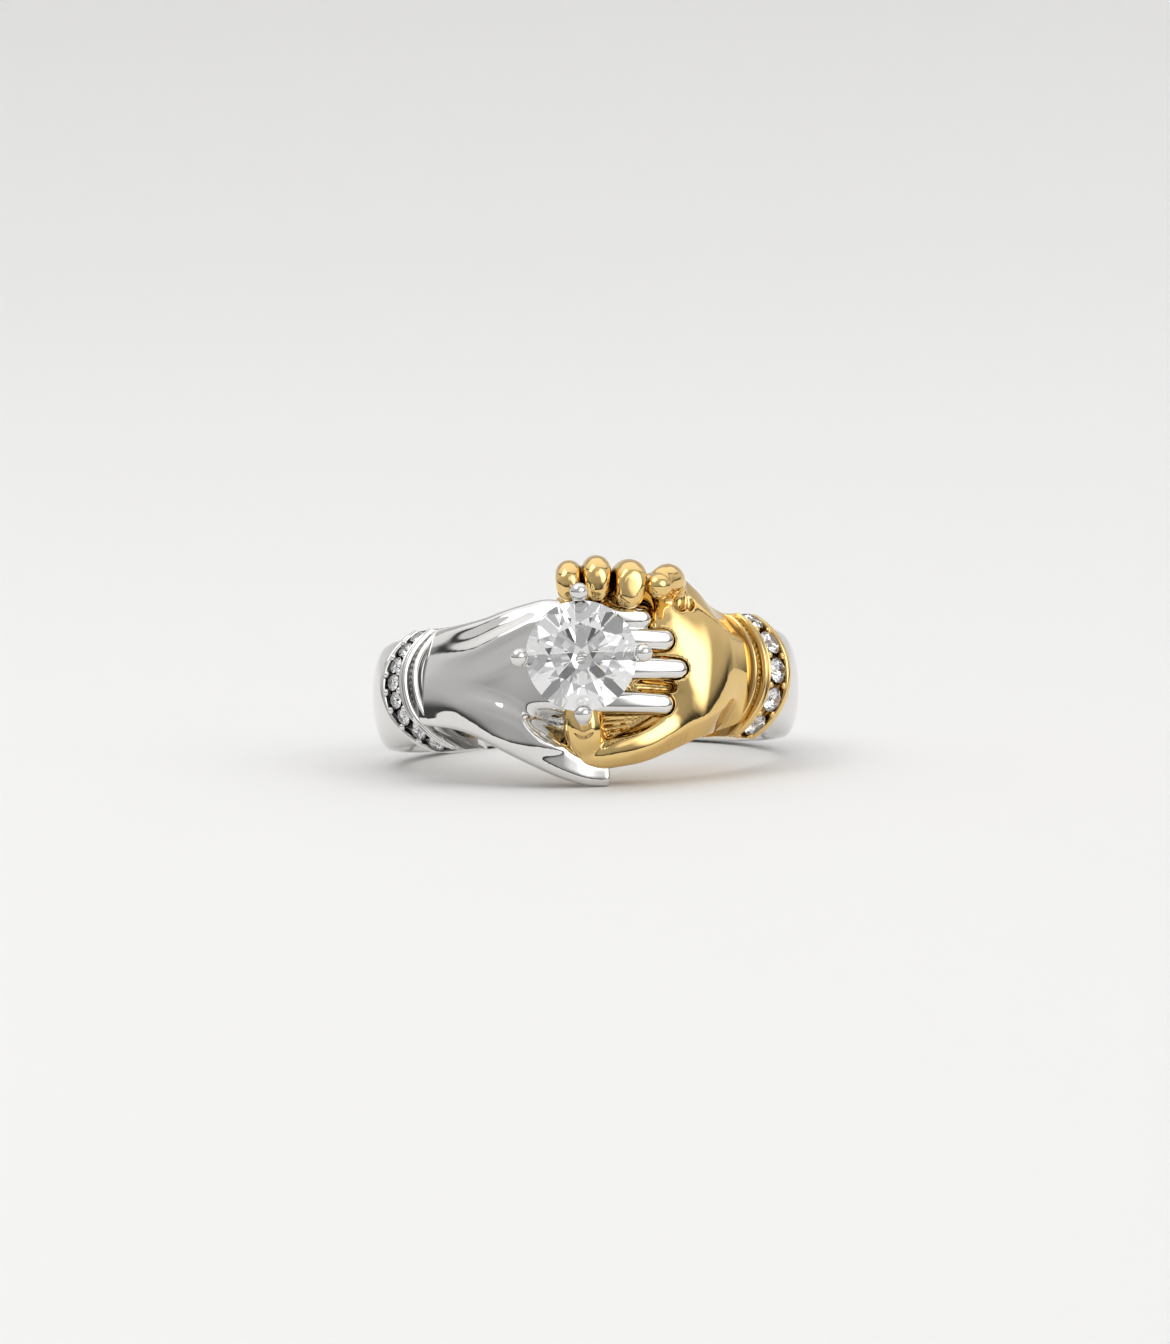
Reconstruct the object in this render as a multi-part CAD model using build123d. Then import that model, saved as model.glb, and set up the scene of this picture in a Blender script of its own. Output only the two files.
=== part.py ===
from build123d import *
from collections import namedtuple
from math import cos, degrees, radians, sin, sqrt, tan
import os

# A two-tone clasped-hands ring. A white gold hand and a yellow gold hand hold each other in front,
# each out of a sleeve cuff set with small diamonds, and a round diamond stands over them in four
# prongs. All lengths are millimetres. While it is modelled, the bore runs along Z, angles count
# from the stone at the front, plus to the right, and a place is an angle, a radius and a height.
# At the end the ring is laid on its side as it would rest.

# Finger size and clearances
bore_radius = 8.65
fit = 0.03

# Shank, from one cuff round the back to the other
shank_side_thickness = 1.75
shank_rear_thickness = 1.55
shank_side_half_width = 2.55
shank_rear_half_width = 1.5
shank_edge_share = 0.5

# Each piece starts this far inside the bore, which is cut through them all at the end
shank_root = 0.5
cuff_root = 0.65
white_palm_root = 0.8
yellow_palm_root = 0.95

# Cuffs
cuff_half_width = 2.97
cuff_thickness = 2.8
cuff_edge_thickness = 1.0
cuff_rim_angle = 59.0
cuff_mouth_angle = 43.5
cuff_rim_height = 0.14
cuff_bevel_height = 0.16
cuff_roll_height = 0.3
cuff_lip_height = 0.02
white_cuff_drop = 0.23
white_cuff_sweep = 10.0
yellow_cuff_sweep = 4.0

# Diamonds in the cuffs
white_cuff_stone_diameter = 0.82
white_cuff_stone_count = 8
white_cuff_stone_pitch = 0.88
yellow_cuff_stone_diameter = 1.22
yellow_cuff_stone_count = 5
yellow_cuff_stone_pitch = 1.44
yellow_cuff_stone_offset = 0.15
bead_radius = 0.17
bead_edge_share = 0.82
bead_sink = 0.05

# White hand
hand_thickness = 3.25
white_palm_height = 3.45
white_palm_drop = 2.35
white_finger_radius = 0.53
white_finger_radius_from_bore = 2.85
white_finger_spread = 2.55
white_finger_start_angle = -2.0
white_thumb_radius = 1.0
white_thumb_drop = 4.93
white_thumb_from_bore = 1.95

# Yellow hand, whose palm reaches under the white one
yellow_palm_start_angle = -9.0
yellow_palm_under_white = 1.75
yellow_palm_height = 4.9
yellow_palm_drop = 4.45
yellow_palm_thickness = 3.5
yellow_finger_radius = 0.68
yellow_finger_top = 4.72
yellow_finger_reach = 3.75
yellow_finger_tip_reach_share = 0.93
yellow_finger_tip_girth_share = 0.92
yellow_thumb_radius = 1.15
yellow_thumb_drop = 3.55
yellow_thumb_from_bore = 2.95

# Centre diamond and its head
stone_diameter = 5.25
stone_height = 0.5
stone_angle = -0.6
prong_radius = 0.33
prong_ball_radius = 0.44
prong_joint_share = 1.01
head_cup_foot_radius = 1.0
head_cup_rim_radius = 1.45
head_cup_height = 0.62
head_peg_radius = 0.5
head_peg_length = 0.7
head_seat_depth = 0.35
culet_height = 0.15
culet_gap = 0.1

# Brilliant cut: table as a share of the radius, girdle of the diameter, angles from the girdle plane
table_share = 0.57
girdle_share = 0.02
crown_angle = 34.5
star_angle = 23.3
upper_half_angle = 40.0
pavilion_angle = 40.75
lower_half_angle = 41.25
main_facet_count = 8

ShankRow = namedtuple("ShankRow", "angle width thickness")
PalmRow = namedtuple("PalmRow", "angle low high crown side")
LimbRow = namedtuple("LimbRow", "angle radius height girth")
LevelRow = namedtuple("LevelRow", "height sweep")
BandRow = namedtuple("BandRow", "end raise_by")
WhiteFinger = namedtuple("WhiteFinger", "knuckle tip angle")
StraightRow = namedtuple("StraightRow", "along sink girth")
YellowFinger = namedtuple("YellowFinger", "angle girth tip")
CurlRow = namedtuple("CurlRow", "reach top girth")
Prong = namedtuple("Prong", "turn reach")
Facet = namedtuple("Facet", "tilt turn reach height")

# The shank's sections: angle, then half width and thickness as shares from the rear (0) to the side (1)
shank_rows = [
    ShankRow(50, 1.0, 1.0),
    ShankRow(75, 1.0, 1.0),
    ShankRow(100, 0.92, 0.85),
    ShankRow(125, 0.68, 0.5),
    ShankRow(150, 0.32, 0.2),
    ShankRow(180, 0.0, 0.0),
]

# Height shares at which a cuff's section is drawn, and how far each is swept to the front
cuff_levels = [
    LevelRow(-1.0, 1.0),
    LevelRow(-0.8, 0.62),
    LevelRow(-0.45, 0.2),
    LevelRow(0.0, 0.0),
    LevelRow(0.45, -0.04),
    LevelRow(0.8, 0.1),
    LevelRow(1.0, 0.24),
]

# Bands of a cuff from its rim to its mouth: where each ends, as a share, and what it is raised by
cuff_bands = [
    BandRow(0.13, cuff_rim_height),
    BandRow(0.56, 0.0),
    BandRow(0.68, cuff_bevel_height),
    BandRow(0.83, cuff_roll_height),
    BandRow(0.92, 0.0),
    BandRow(1.0, cuff_lip_height),
]
channel_share = (cuff_bands[0].end + cuff_bands[1].end) / 2
channel_half_share = (cuff_bands[1].end - cuff_bands[0].end) / 2

# White palm: low is a share of the palm's drop, high of its height, crown and side of the hand's
# thickness
white_palm_rows = [
    PalmRow(-54, 0.68, 0.62, 0.7, 0.36),
    PalmRow(-44, 0.74, 0.69, 0.78, 0.42),
    PalmRow(-35, 0.9, 0.74, 0.82, 0.44),
    PalmRow(-27, 1.02, 0.8, 0.87, 0.46),
    PalmRow(-19, 1.04, 0.89, 0.93, 0.5),
    PalmRow(-11, 1.0, 1.0, 0.99, 0.58),
    PalmRow(-3, 0.98, 0.97, 1.0, 0.66),
    PalmRow(4, 0.92, 0.86, 0.94, 0.7),
]

# White fingers from the first to the little one: height share at the knuckle, at the tip, tip angle
white_fingers = [
    WhiteFinger(1.0, 0.95, 13.2),
    WhiteFinger(0.64, 0.55, 18.8),
    WhiteFinger(0.06, 0.0, 22.2),
    WhiteFinger(-0.56, -0.65, 17.9),
]

# A white finger from its start to its tip: place along it, sink towards the bore and girth, both as
# shares of its radius
white_finger_rows = [
    StraightRow(0.0, 0.47, 1.02),
    StraightRow(0.35, 0.0, 1.0),
    StraightRow(0.7, 0.0, 0.98),
    StraightRow(1.0, 0.15, 0.86),
]

# White thumb: radius as a share of its own from the bore, height of its drop, girth of its radius
white_thumb_rows = [
    LimbRow(-34, 0.7, -0.2, 0.7),
    LimbRow(-26, 0.88, -0.35, 0.98),
    LimbRow(-19, 0.96, -0.53, 1.0),
    LimbRow(-13, 1.0, -0.69, 0.88),
    LimbRow(-7.5, 1.0, -0.835, 0.74),
    LimbRow(-3, 0.97, -0.93, 0.6),
    LimbRow(1, 0.94, -0.985, 0.52),
    LimbRow(4.6, 0.92, -1.0, 0.44),
]

# Yellow palm, with the columns of the white palm's table and the yellow hand's sizes
yellow_palm_rows = [
    PalmRow(yellow_palm_start_angle, 0.66, 0.8, 0.5, 0.34),
    PalmRow(0, 0.9, 0.93, 0.56, 0.36),
    PalmRow(8, 1.0, 0.95, 0.64, 0.4),
    PalmRow(15, 0.94, 0.96, 0.72, 0.44),
    PalmRow(21, 0.82, 0.98, 0.83, 0.5),
    PalmRow(27, 0.72, 0.96, 0.97, 0.54),
    PalmRow(33, 0.65, 0.78, 1.0, 0.52),
    PalmRow(39, 0.62, 0.6, 0.84, 0.38),
    PalmRow(45, 0.58, 0.54, 0.7, 0.28),
    PalmRow(53, 0.5, 0.46, 0.56, 0.2),
]

# Yellow thumb, with the columns of the white thumb's table
yellow_thumb_rows = [
    LimbRow(30, 0.78, -0.46, 1.04),
    LimbRow(23, 0.86, -0.68, 1.02),
    LimbRow(15, 0.9, -0.9, 0.96),
    LimbRow(8, 0.88, -1.0, 0.9),
    LimbRow(3, 0.92, -0.93, 0.86),
    LimbRow(0, 0.99, -0.74, 0.8),
]

# Yellow fingers, which curl over the white hand's upper edge: angle, girth, tip height share
yellow_fingers = [
    YellowFinger(-3.0, 0.95, 0.83),
    YellowFinger(3.5, 1.0, 0.83),
    YellowFinger(11.3, 1.12, 0.75),
    YellowFinger(19.5, 1.1, 0.83),
]

# A curled finger's line: shares of its reach from the bore, of its top height and of its girth
yellow_finger_rows = [
    CurlRow(0.1, 0.72, 0.95),
    CurlRow(0.26, 0.92, 1.0),
    CurlRow(0.55, 1.0, 1.0),
    CurlRow(0.82, 0.96, 0.98),
]

# Where the sections of a limb's rounded end lie, in degrees round that end
limb_end_turns = [35, 62, 80]

# Prongs: direction round the stone, and how far out each ball stands past the girdle, as a share
# of the ball's radius
prongs = [Prong(0, 0.68), Prong(90, 0.86), Prong(180, 0.68), Prong(270, 0.39)]


def outward(angle):
    """Unit vector from the bore's axis at an angle."""
    return Vector(sin(radians(angle)), -cos(radians(angle)), 0)


def on_ring(angle, radius, height):
    """Point at an angle, a radius and a height."""
    return outward(angle) * radius + Vector(0, 0, height)


def station(angle):
    """Plane through the bore's axis: its X is the radius and its Y the height."""
    turn = radians(angle)
    return Plane(origin=(0, 0, 0), x_dir=outward(angle), z_dir=(-cos(turn), -sin(turn), 0))


def between(low, high, share):
    """Value at a share of the way from low to high."""
    return low + (high - low) * share


def d_section(angle, inner, side, crown, low, high):
    """Section with a flat inside, two side walls and a crowned outside."""
    walls = Polyline((side, high), (inner, high), (inner, low), (side, low))
    crest = ThreePointArc((side, low), (crown, (low + high) / 2), (side, high))
    return station(angle) * make_face(walls + crest)


def limb(centres, girths, across):
    """Finger or thumb: round sections along a line of points, rounded off at each end."""
    last = len(centres) - 1
    body = []
    for index, centre in enumerate(centres):
        ahead = centres[min(index + 1, last)] - centres[max(index - 1, 0)]
        body.append((centre, ahead.normalized(), girths[index]))
    rounds = [body, [], []]
    for end, sign, closing in ((body[0], -1, rounds[1]), (body[-1], 1, rounds[2])):
        centre, along, girth = end
        for turn in limb_end_turns:
            out = sign * girth * sin(radians(turn))
            closing.append((centre + along * out, along, girth * cos(radians(turn))))
    sections = []
    for centre, along, girth in reversed(rounds[1]):
        sections.append((centre, along, girth))
    sections += rounds[0] + rounds[2]
    faces = []
    for centre, along, girth in sections:
        side = (across - along * across.dot(along)).normalized()
        faces.append(Plane(origin=centre, x_dir=side, z_dir=along) * Circle(girth))
    return loft(faces)


def shank_half_width(share):
    """Half width of the shank at a share of the way from its rear to its sides."""
    return between(shank_rear_half_width, shank_side_half_width, share)


def make_shank():
    """D-shaped band, lofted round the back in two mirrored halves of the same rows."""
    rows = shank_rows + [row._replace(angle=360 - row.angle) for row in reversed(shank_rows[:-1])]
    sections = []
    for row in rows:
        width = shank_half_width(row.width)
        thickness = between(shank_rear_thickness, shank_side_thickness, row.thickness)
        side = bore_radius + thickness * shank_edge_share
        inner = bore_radius - shank_root
        sections.append(d_section(row.angle, inner, side, bore_radius + thickness, -width, width))
    return loft(sections)


cuff_crown = bore_radius + cuff_thickness
cuff_side = bore_radius + cuff_edge_thickness
cuff_rise = cuff_crown - cuff_side
cuff_arc_radius = (cuff_half_width**2 + cuff_rise**2) / (2 * cuff_rise)
cuff_arc_centre = cuff_crown - cuff_arc_radius


def cuff_surface(height):
    """Radius of a cuff's channel at a height from its own middle."""
    return cuff_arc_centre + sqrt(cuff_arc_radius**2 - height**2)


def cuff_sweep_at(height):
    """Share of the sweep at a height: what the level table gives, on straight lines between."""
    share = height / cuff_half_width
    for lower, upper in zip(cuff_levels, cuff_levels[1:]):
        if share <= upper.height:
            part = (share - lower.height) / (upper.height - lower.height)
            return between(lower.sweep, upper.sweep, part)
    return cuff_levels[-1].sweep


def cuff_angle(share, height, sweep):
    """Angle from the front of a share of the cuff's length, from its rim to its mouth."""
    return between(cuff_rim_angle, cuff_mouth_angle, share) - sweep * cuff_sweep_at(height)


def cuff_level(height, side, sweep, drop, grow):
    """Section of a cuff across the bore's axis at one height: bands that step up and down."""
    spread = degrees(grow / cuff_side)
    edges = []
    start = side * (cuff_angle(0, height, sweep) + spread)
    inner = bore_radius - cuff_root
    here = on_ring(start, inner, 0)
    first = here
    began = 0.0
    for band in cuff_bands:
        radius = cuff_surface(height) + band.raise_by + grow
        widen = spread if began == 0 else 0
        opens = side * (cuff_angle(began, height, sweep) + widen)
        narrow = spread if band.end == 1 else 0
        closes = side * (cuff_angle(band.end, height, sweep) - narrow)
        rise = on_ring(opens, radius, 0)
        edges.append(Line(here, rise))
        here = on_ring(closes, radius, 0)
        edges.append(ThreePointArc(rise, on_ring((opens + closes) / 2, radius, 0), here))
        began = band.end
    last = on_ring(closes, inner, 0)
    edges.append(Line(here, last))
    edges.append(ThreePointArc(last, on_ring((start + closes) / 2, inner, 0), first))
    outline = make_face(Curve() + edges)
    return Pos(0, 0, height * (1 + grow / cuff_half_width) - drop) * outline


def make_cuff(side, sweep, drop, grow=0.0):
    """Sleeve cuff: its stepped section lofted from its lower flank to its upper one."""
    heights = [level.height * cuff_half_width for level in cuff_levels]
    return loft([cuff_level(height, side, sweep, drop, grow) for height in heights])


def cuff_plane(side, sweep, drop, climb, share):
    """Plane on a cuff's channel, at an angle up its arc and a share of its length, Z out."""
    height = cuff_arc_radius * sin(climb)
    angle = side * cuff_angle(share, height, sweep)
    centre = on_ring(angle, cuff_surface(height), height - drop)
    normal = outward(angle) * cos(climb) + Vector(0, 0, sin(climb))
    return Plane(origin=centre, x_dir=station(angle).z_dir, z_dir=normal)


def cuff_stone_planes(side, sweep, drop, count, pitch, offset):
    """Planes on the channel's surface, evenly spaced along its arc, one for each stone."""
    climbs = [(offset + pitch * ((count - 1) / 2 - i)) / cuff_arc_radius for i in range(count)]
    return [cuff_plane(side, sweep, drop, climb, channel_share) for climb in climbs]


def cuff_beads(side, sweep, drop, count, pitch, offset):
    """Small beads on both edges of the channel, between one stone and the next."""
    beads = []
    for index in range(count + 1):
        climb = (offset + pitch * (count / 2 - index)) / cuff_arc_radius
        if cuff_arc_radius * abs(sin(climb)) > cuff_half_width - bead_radius:
            continue
        for edge in (-1, 1):
            share = channel_share + edge * channel_half_share * bead_edge_share
            seat = cuff_plane(side, sweep, drop, climb, share)
            beads.append(seat * Pos(0, 0, -bead_sink) * Sphere(bead_radius))
    return beads


def palm(rows, height, drop, thickness, root, grow=0.0):
    """Back of a hand or palm, lofted round the ring through its table's sections."""
    spread = degrees(grow / (bore_radius + thickness))
    sections = []
    for row in rows:
        angle = row.angle
        if row is rows[0]:
            angle -= spread
        if row is rows[-1]:
            angle += spread
        side = bore_radius + thickness * row.side + grow
        crown = bore_radius + thickness * row.crown + grow
        low = -drop * row.low - grow
        high = height * row.high + grow
        sections.append(d_section(angle, bore_radius - root - grow, side, crown, low, high))
    return loft(sections)


def yellow_palm_room(grow):
    """Room under the white palm for the end of the yellow one: a piece of a thick tube wall."""
    start = yellow_palm_start_angle - degrees(fit / bore_radius) + degrees(grow / bore_radius)
    end = yellow_palm_rows[-1].angle
    outer = bore_radius + yellow_palm_under_white + fit - grow
    inner = bore_radius / 2
    edges = [
        Line(on_ring(start, inner, 0), on_ring(start, outer, 0)),
        ThreePointArc(
            on_ring(start, outer, 0), on_ring((start + end) / 2, outer, 0), on_ring(end, outer, 0)
        ),
        Line(on_ring(end, outer, 0), on_ring(end, inner, 0)),
        ThreePointArc(
            on_ring(end, inner, 0), on_ring((start + end) / 2, inner, 0), on_ring(start, inner, 0)
        ),
    ]
    return extrude(make_face(Curve() + edges), yellow_palm_height * 2, both=True)


def thumb(rows, from_bore, drop, radius, grow=0.0):
    """Thumb along its table's rows, grown by a clearance if asked."""
    centres = [on_ring(r.angle, bore_radius + from_bore * r.radius, drop * r.height) for r in rows]
    girths = [radius * row.girth + grow for row in rows]
    return limb(centres, girths, Vector(0, 0, 1))


def white_finger(finger, grow=0.0):
    """One straight finger, from under the stone to its tip on the yellow palm."""
    centres = []
    for row in white_finger_rows:
        angle = between(white_finger_start_angle, finger.angle, row.along)
        radius = bore_radius + white_finger_radius_from_bore - white_finger_radius * row.sink
        height = white_finger_spread * between(finger.knuckle, finger.tip, row.along)
        centres.append(on_ring(angle, radius, height))
    girths = [white_finger_radius * row.girth + grow for row in white_finger_rows]
    return limb(centres, girths, Vector(0, 0, 1))


def yellow_finger(finger):
    """One finger that curls up behind the white hand's edge and down over it."""
    tip = CurlRow(yellow_finger_tip_reach_share, finger.tip, yellow_finger_tip_girth_share)
    centres = []
    girths = []
    for row in yellow_finger_rows + [tip]:
        radius = bore_radius + yellow_finger_reach * row.reach
        centres.append(on_ring(finger.angle, radius, yellow_finger_top * row.top))
        girths.append(yellow_finger_radius * finger.girth * row.girth)
    return limb(centres, girths, station(finger.angle).z_dir)


def white_hand(grow=0.0):
    """Palm, four fingers and thumb of the white hand, grown by a clearance if asked."""
    hand = palm(
        white_palm_rows, white_palm_height, white_palm_drop, hand_thickness, white_palm_root, grow
    )
    hand -= yellow_palm_room(grow)
    hand += [white_finger(finger, grow) for finger in white_fingers]
    hand += thumb(
        white_thumb_rows, white_thumb_from_bore, white_thumb_drop, white_thumb_radius, grow
    )
    return hand


def brilliant(diameter):
    """Round brilliant cut of 57 facets, table up, the top of its girdle at zero height."""
    radius = diameter / 2
    girdle = diameter * girdle_share
    table = radius * table_share
    crown_height = (radius - table) * tan(radians(crown_angle))
    depth = radius * tan(radians(pavilion_angle)) + girdle
    stone = Pos(0, 0, (crown_height - depth) / 2) * Cylinder(radius, crown_height + depth)
    main_turn = 360 / main_facet_count
    star_reach = table * cos(radians(main_turn / 2))
    facets = []
    for index in range(main_facet_count):
        facets.append(Facet(crown_angle, main_turn * index, radius, 0))
        facets.append(Facet(star_angle, main_turn * (index + 0.5), star_reach, crown_height))
        facets.append(Facet(180 - pavilion_angle, main_turn * index, radius, -girdle))
    for index in range(2 * main_facet_count):
        turn = main_turn * (index + 0.5) / 2
        facets.append(Facet(upper_half_angle, turn, radius, 0))
        facets.append(Facet(180 - lower_half_angle, turn, radius, -girdle))
    for facet in facets:
        way = Vector(cos(radians(facet.turn)), sin(radians(facet.turn)), 0)
        normal = way * sin(radians(facet.tilt)) + Vector(0, 0, cos(radians(facet.tilt)))
        touch = way * facet.reach + Vector(0, 0, facet.height)
        stone = split(stone, bisect_by=Plane(origin=touch, z_dir=normal), keep=Keep.BOTTOM)
    return stone


def stone_seat(diameter):
    """Drilled seat of a small diamond: its cone and girdle with the clearance round them."""
    radius = diameter / 2 + fit
    girdle = diameter * girdle_share
    depth = radius * tan(radians(lower_half_angle)) + girdle + fit
    cone = Pos(0, 0, -depth / 2) * Cone(fit, radius, depth)
    drill = Pos(0, 0, radius / 2) * Cylinder(radius, radius)
    return cone + drill


def rod(start, end, radius):
    """Round wire from one point to another."""
    along = end - start
    middle = start + along * 0.5
    return Plane(origin=middle, z_dir=along.normalized()) * Cylinder(radius, along.length)


stone_radius = stone_diameter / 2
girdle = stone_diameter * girdle_share
pavilion_depth = stone_radius * tan(radians(pavilion_angle)) + girdle
head_seat_radius = bore_radius + hand_thickness - head_seat_depth
stone_girdle_level = culet_height + pavilion_depth


def head_plane(radius):
    """Plane square to the stone's axis at a radius from the bore's axis, its X to the right."""
    middle = on_ring(stone_angle, radius, stone_height)
    return Plane(origin=middle, x_dir=-station(stone_angle).z_dir, z_dir=outward(stone_angle))


def head_cup(grow=0.0):
    """Flared foot of the head, standing on zero height, grown by a clearance if asked."""
    flare = Cone(head_cup_foot_radius + grow, head_cup_rim_radius + grow, head_cup_height + grow)
    return Pos(0, 0, (head_cup_height - grow) / 2) * flare


def head_peg(grow=0.0):
    """Peg under the cup that holds the head in the white hand, grown by a clearance if asked."""
    length = head_peg_length + grow + head_cup_height / 2
    return Pos(0, 0, head_cup_height / 2 - length / 2) * Cylinder(head_peg_radius + grow, length)


def make_head():
    """Peg, hollow cup and four prongs with a ball over the girdle each."""
    hollow_depth = pavilion_depth + culet_gap
    hollow_radius = hollow_depth / tan(radians(pavilion_angle))
    hollow_middle = culet_height - culet_gap + hollow_depth / 2
    above_foot = Pos(0, 0, head_cup_height / 2 + fit) * Cylinder(head_cup_foot_radius, head_cup_height)
    head = head_cup() - Pos(0, 0, hollow_middle) * Cone(fit, hollow_radius, hollow_depth)
    head += head_peg() - above_foot
    joint_radius = prong_radius * prong_joint_share
    prong_reach = stone_radius + fit + prong_radius
    for prong in prongs:
        way = Vector(cos(radians(prong.turn)), sin(radians(prong.turn)), 0)
        foot = way * (head_cup_rim_radius - prong_radius) + Vector(0, 0, head_cup_height)
        bend = way * prong_reach + Vector(0, 0, stone_girdle_level - girdle - prong_radius)
        out = prong_ball_radius * prong.reach
        lift = sqrt((prong_ball_radius + fit)**2 - out**2)
        tip = way * (stone_radius + out) + Vector(0, 0, stone_girdle_level + lift)
        neck = way * prong_reach + Vector(0, 0, stone_girdle_level + lift / 2)
        head += rod(foot, bend, prong_radius)
        head += Pos(bend) * Sphere(joint_radius)
        head += rod(bend, neck, prong_radius)
        head += Pos(neck) * Sphere(joint_radius)
        head += Pos(tip) * Sphere(prong_ball_radius)
    return head_plane(head_seat_radius) * head


# The search for the tilt at rest halves its range, from level to the steepest, this many times
steepest_rest = 40.0
rest_halvings = 40


def rest_tilt():
    """Angle that the ring leans by on its side, on the white thumb and the back of the shank."""
    thumb_balls = []
    for row in white_thumb_rows:
        radius = bore_radius + white_thumb_from_bore * row.radius
        centre = on_ring(row.angle, radius, white_thumb_drop * row.height)
        thumb_balls.append((centre, white_thumb_radius * row.girth))
    shank_edges = []
    for row in shank_rows:
        thickness = between(shank_rear_thickness, shank_side_thickness, row.thickness)
        edge = bore_radius + thickness * shank_edge_share
        shank_edges.append(on_ring(row.angle, edge, -shank_half_width(row.width)))
    low = 0.0
    high = radians(steepest_rest)
    for _ in range(rest_halvings):
        tilt = (low + high) / 2
        front = min(-sin(tilt) * c.Y + cos(tilt) * c.Z - r for c, r in thumb_balls)
        back = min(-sin(tilt) * edge.Y + cos(tilt) * edge.Z for edge in shank_edges)
        if front < back:
            low = tilt
        else:
            high = tilt
    return degrees(low)


bore_cut_length = 2 * (yellow_palm_height + yellow_palm_drop)
bore = Cylinder(bore_radius, bore_cut_length)

white_cuff_planes = cuff_stone_planes(
    -1, white_cuff_sweep, white_cuff_drop, white_cuff_stone_count, white_cuff_stone_pitch, 0.0
)
yellow_cuff_planes = cuff_stone_planes(
    1, yellow_cuff_sweep, 0.0, yellow_cuff_stone_count, yellow_cuff_stone_pitch,
    yellow_cuff_stone_offset
)

# White casting: shank, cuff and hand
white_casting = make_shank() - make_cuff(1, yellow_cuff_sweep, 0.0, fit)
white_casting += make_cuff(-1, white_cuff_sweep, white_cuff_drop)
white_casting += white_hand()
white_casting += cuff_beads(
    -1, white_cuff_sweep, white_cuff_drop, white_cuff_stone_count, white_cuff_stone_pitch, 0.0
)
head_room = head_plane(head_seat_radius) * (head_cup(fit) + head_peg(fit))
white_seats = [plane * stone_seat(white_cuff_stone_diameter) for plane in white_cuff_planes]
white_casting -= [bore, head_room] + white_seats

# Yellow casting: cuff and hand, with the white hand's place cut out of it
yellow_casting = palm(
    yellow_palm_rows, yellow_palm_height, yellow_palm_drop, yellow_palm_thickness, yellow_palm_root
)
yellow_casting += thumb(
    yellow_thumb_rows, yellow_thumb_from_bore, yellow_thumb_drop, yellow_thumb_radius
)
yellow_casting += [yellow_finger(finger) for finger in yellow_fingers]
yellow_casting += make_cuff(1, yellow_cuff_sweep, 0.0)
yellow_casting += cuff_beads(
    1, yellow_cuff_sweep, 0.0, yellow_cuff_stone_count, yellow_cuff_stone_pitch,
    yellow_cuff_stone_offset
)
yellow_seats = [plane * stone_seat(yellow_cuff_stone_diameter) for plane in yellow_cuff_planes]
yellow_casting -= [bore] + yellow_seats
yellow_casting -= white_hand(fit)

white_small = brilliant(white_cuff_stone_diameter)
yellow_small = brilliant(yellow_cuff_stone_diameter)

nodes = {
    "white_gold_band_and_hand": white_casting,
    "yellow_gold_cuff_and_hand": yellow_casting,
    "prong_head": make_head(),
    "centre_diamond": head_plane(head_seat_radius + stone_girdle_level) * brilliant(stone_diameter),
}
for index, plane in enumerate(white_cuff_planes, start=1):
    nodes[f"white_cuff_diamond_{index}"] = plane * white_small
for index, plane in enumerate(yellow_cuff_planes, start=1):
    nodes[f"yellow_cuff_diamond_{index}"] = plane * yellow_small

# The ring lies on its side: leaned back about X, then set down with its base centred on the origin
tilt = rest_tilt()
leaned = {name: Rot(-tilt, 0, 0) * solid for name, solid in nodes.items()}
boxes = [solid.bounding_box() for solid in leaned.values()]
left = min(box.min.X for box in boxes)
right = max(box.max.X for box in boxes)
front = min(box.min.Y for box in boxes)
back = max(box.max.Y for box in boxes)
base = min(box.min.Z for box in boxes)
top = max(box.max.Z for box in boxes)
bore_centre = Vector(-(left + right) / 2, -(front + back) / 2, -base)
os.makedirs("parts", exist_ok=True)
for name, solid in leaned.items():
    export_step(Pos(bore_centre) * solid, f"parts/{name}.step")

print("rest tilt", round(tilt, 3))
print("bore centre", [round(value, 3) for value in bore_centre])
print("size", [round(value, 3) for value in (right - left, back - front, top - base)])
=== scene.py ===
from math import asin, cos, degrees, pi, radians, sin, sqrt

import bpy
import numpy as np
from mathutils import Matrix, Vector


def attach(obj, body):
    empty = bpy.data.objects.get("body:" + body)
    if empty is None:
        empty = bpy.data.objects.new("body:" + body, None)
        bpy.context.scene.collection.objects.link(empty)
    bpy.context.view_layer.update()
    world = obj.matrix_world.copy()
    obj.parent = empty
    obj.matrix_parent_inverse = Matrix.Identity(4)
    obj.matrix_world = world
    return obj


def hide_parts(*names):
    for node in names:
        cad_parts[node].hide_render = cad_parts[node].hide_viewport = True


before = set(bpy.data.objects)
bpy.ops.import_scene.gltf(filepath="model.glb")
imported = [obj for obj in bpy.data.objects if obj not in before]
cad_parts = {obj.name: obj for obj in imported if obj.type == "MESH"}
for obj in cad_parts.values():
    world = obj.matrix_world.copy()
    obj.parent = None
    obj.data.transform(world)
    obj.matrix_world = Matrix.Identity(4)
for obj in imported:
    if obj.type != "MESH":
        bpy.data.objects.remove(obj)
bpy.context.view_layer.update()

# The ring is modelled as in its solids, in millimetres with the bore along Z: a place is an angle
# from the stone at the front, plus to the right, a radius and a height. to_row turns such points
# into the row frame, where the ring lies on its side.
REST_TILT = radians(10.787)
BORE_CENTRE = np.array([0.0, 2.532, 3.341])
BORE = 8.65
MILLIMETRE = 0.001


def ring_points(angle, radius, height):
    """Points from angles in degrees, radii and heights, as rows of x, y, z."""
    turn = np.radians(angle)
    return np.stack(np.broadcast_arrays(radius * np.sin(turn), -radius * np.cos(turn), height), -1)


def to_row(points):
    """Ring points in millimetres as points of the row frame in metres."""
    x, y, z = np.asarray(points, float).reshape(-1, 3).T
    lean = (x, y * cos(REST_TILT) + z * sin(REST_TILT), -y * sin(REST_TILT) + z * cos(REST_TILT))
    return (np.column_stack(lean) + BORE_CENTRE) * MILLIMETRE


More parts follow.
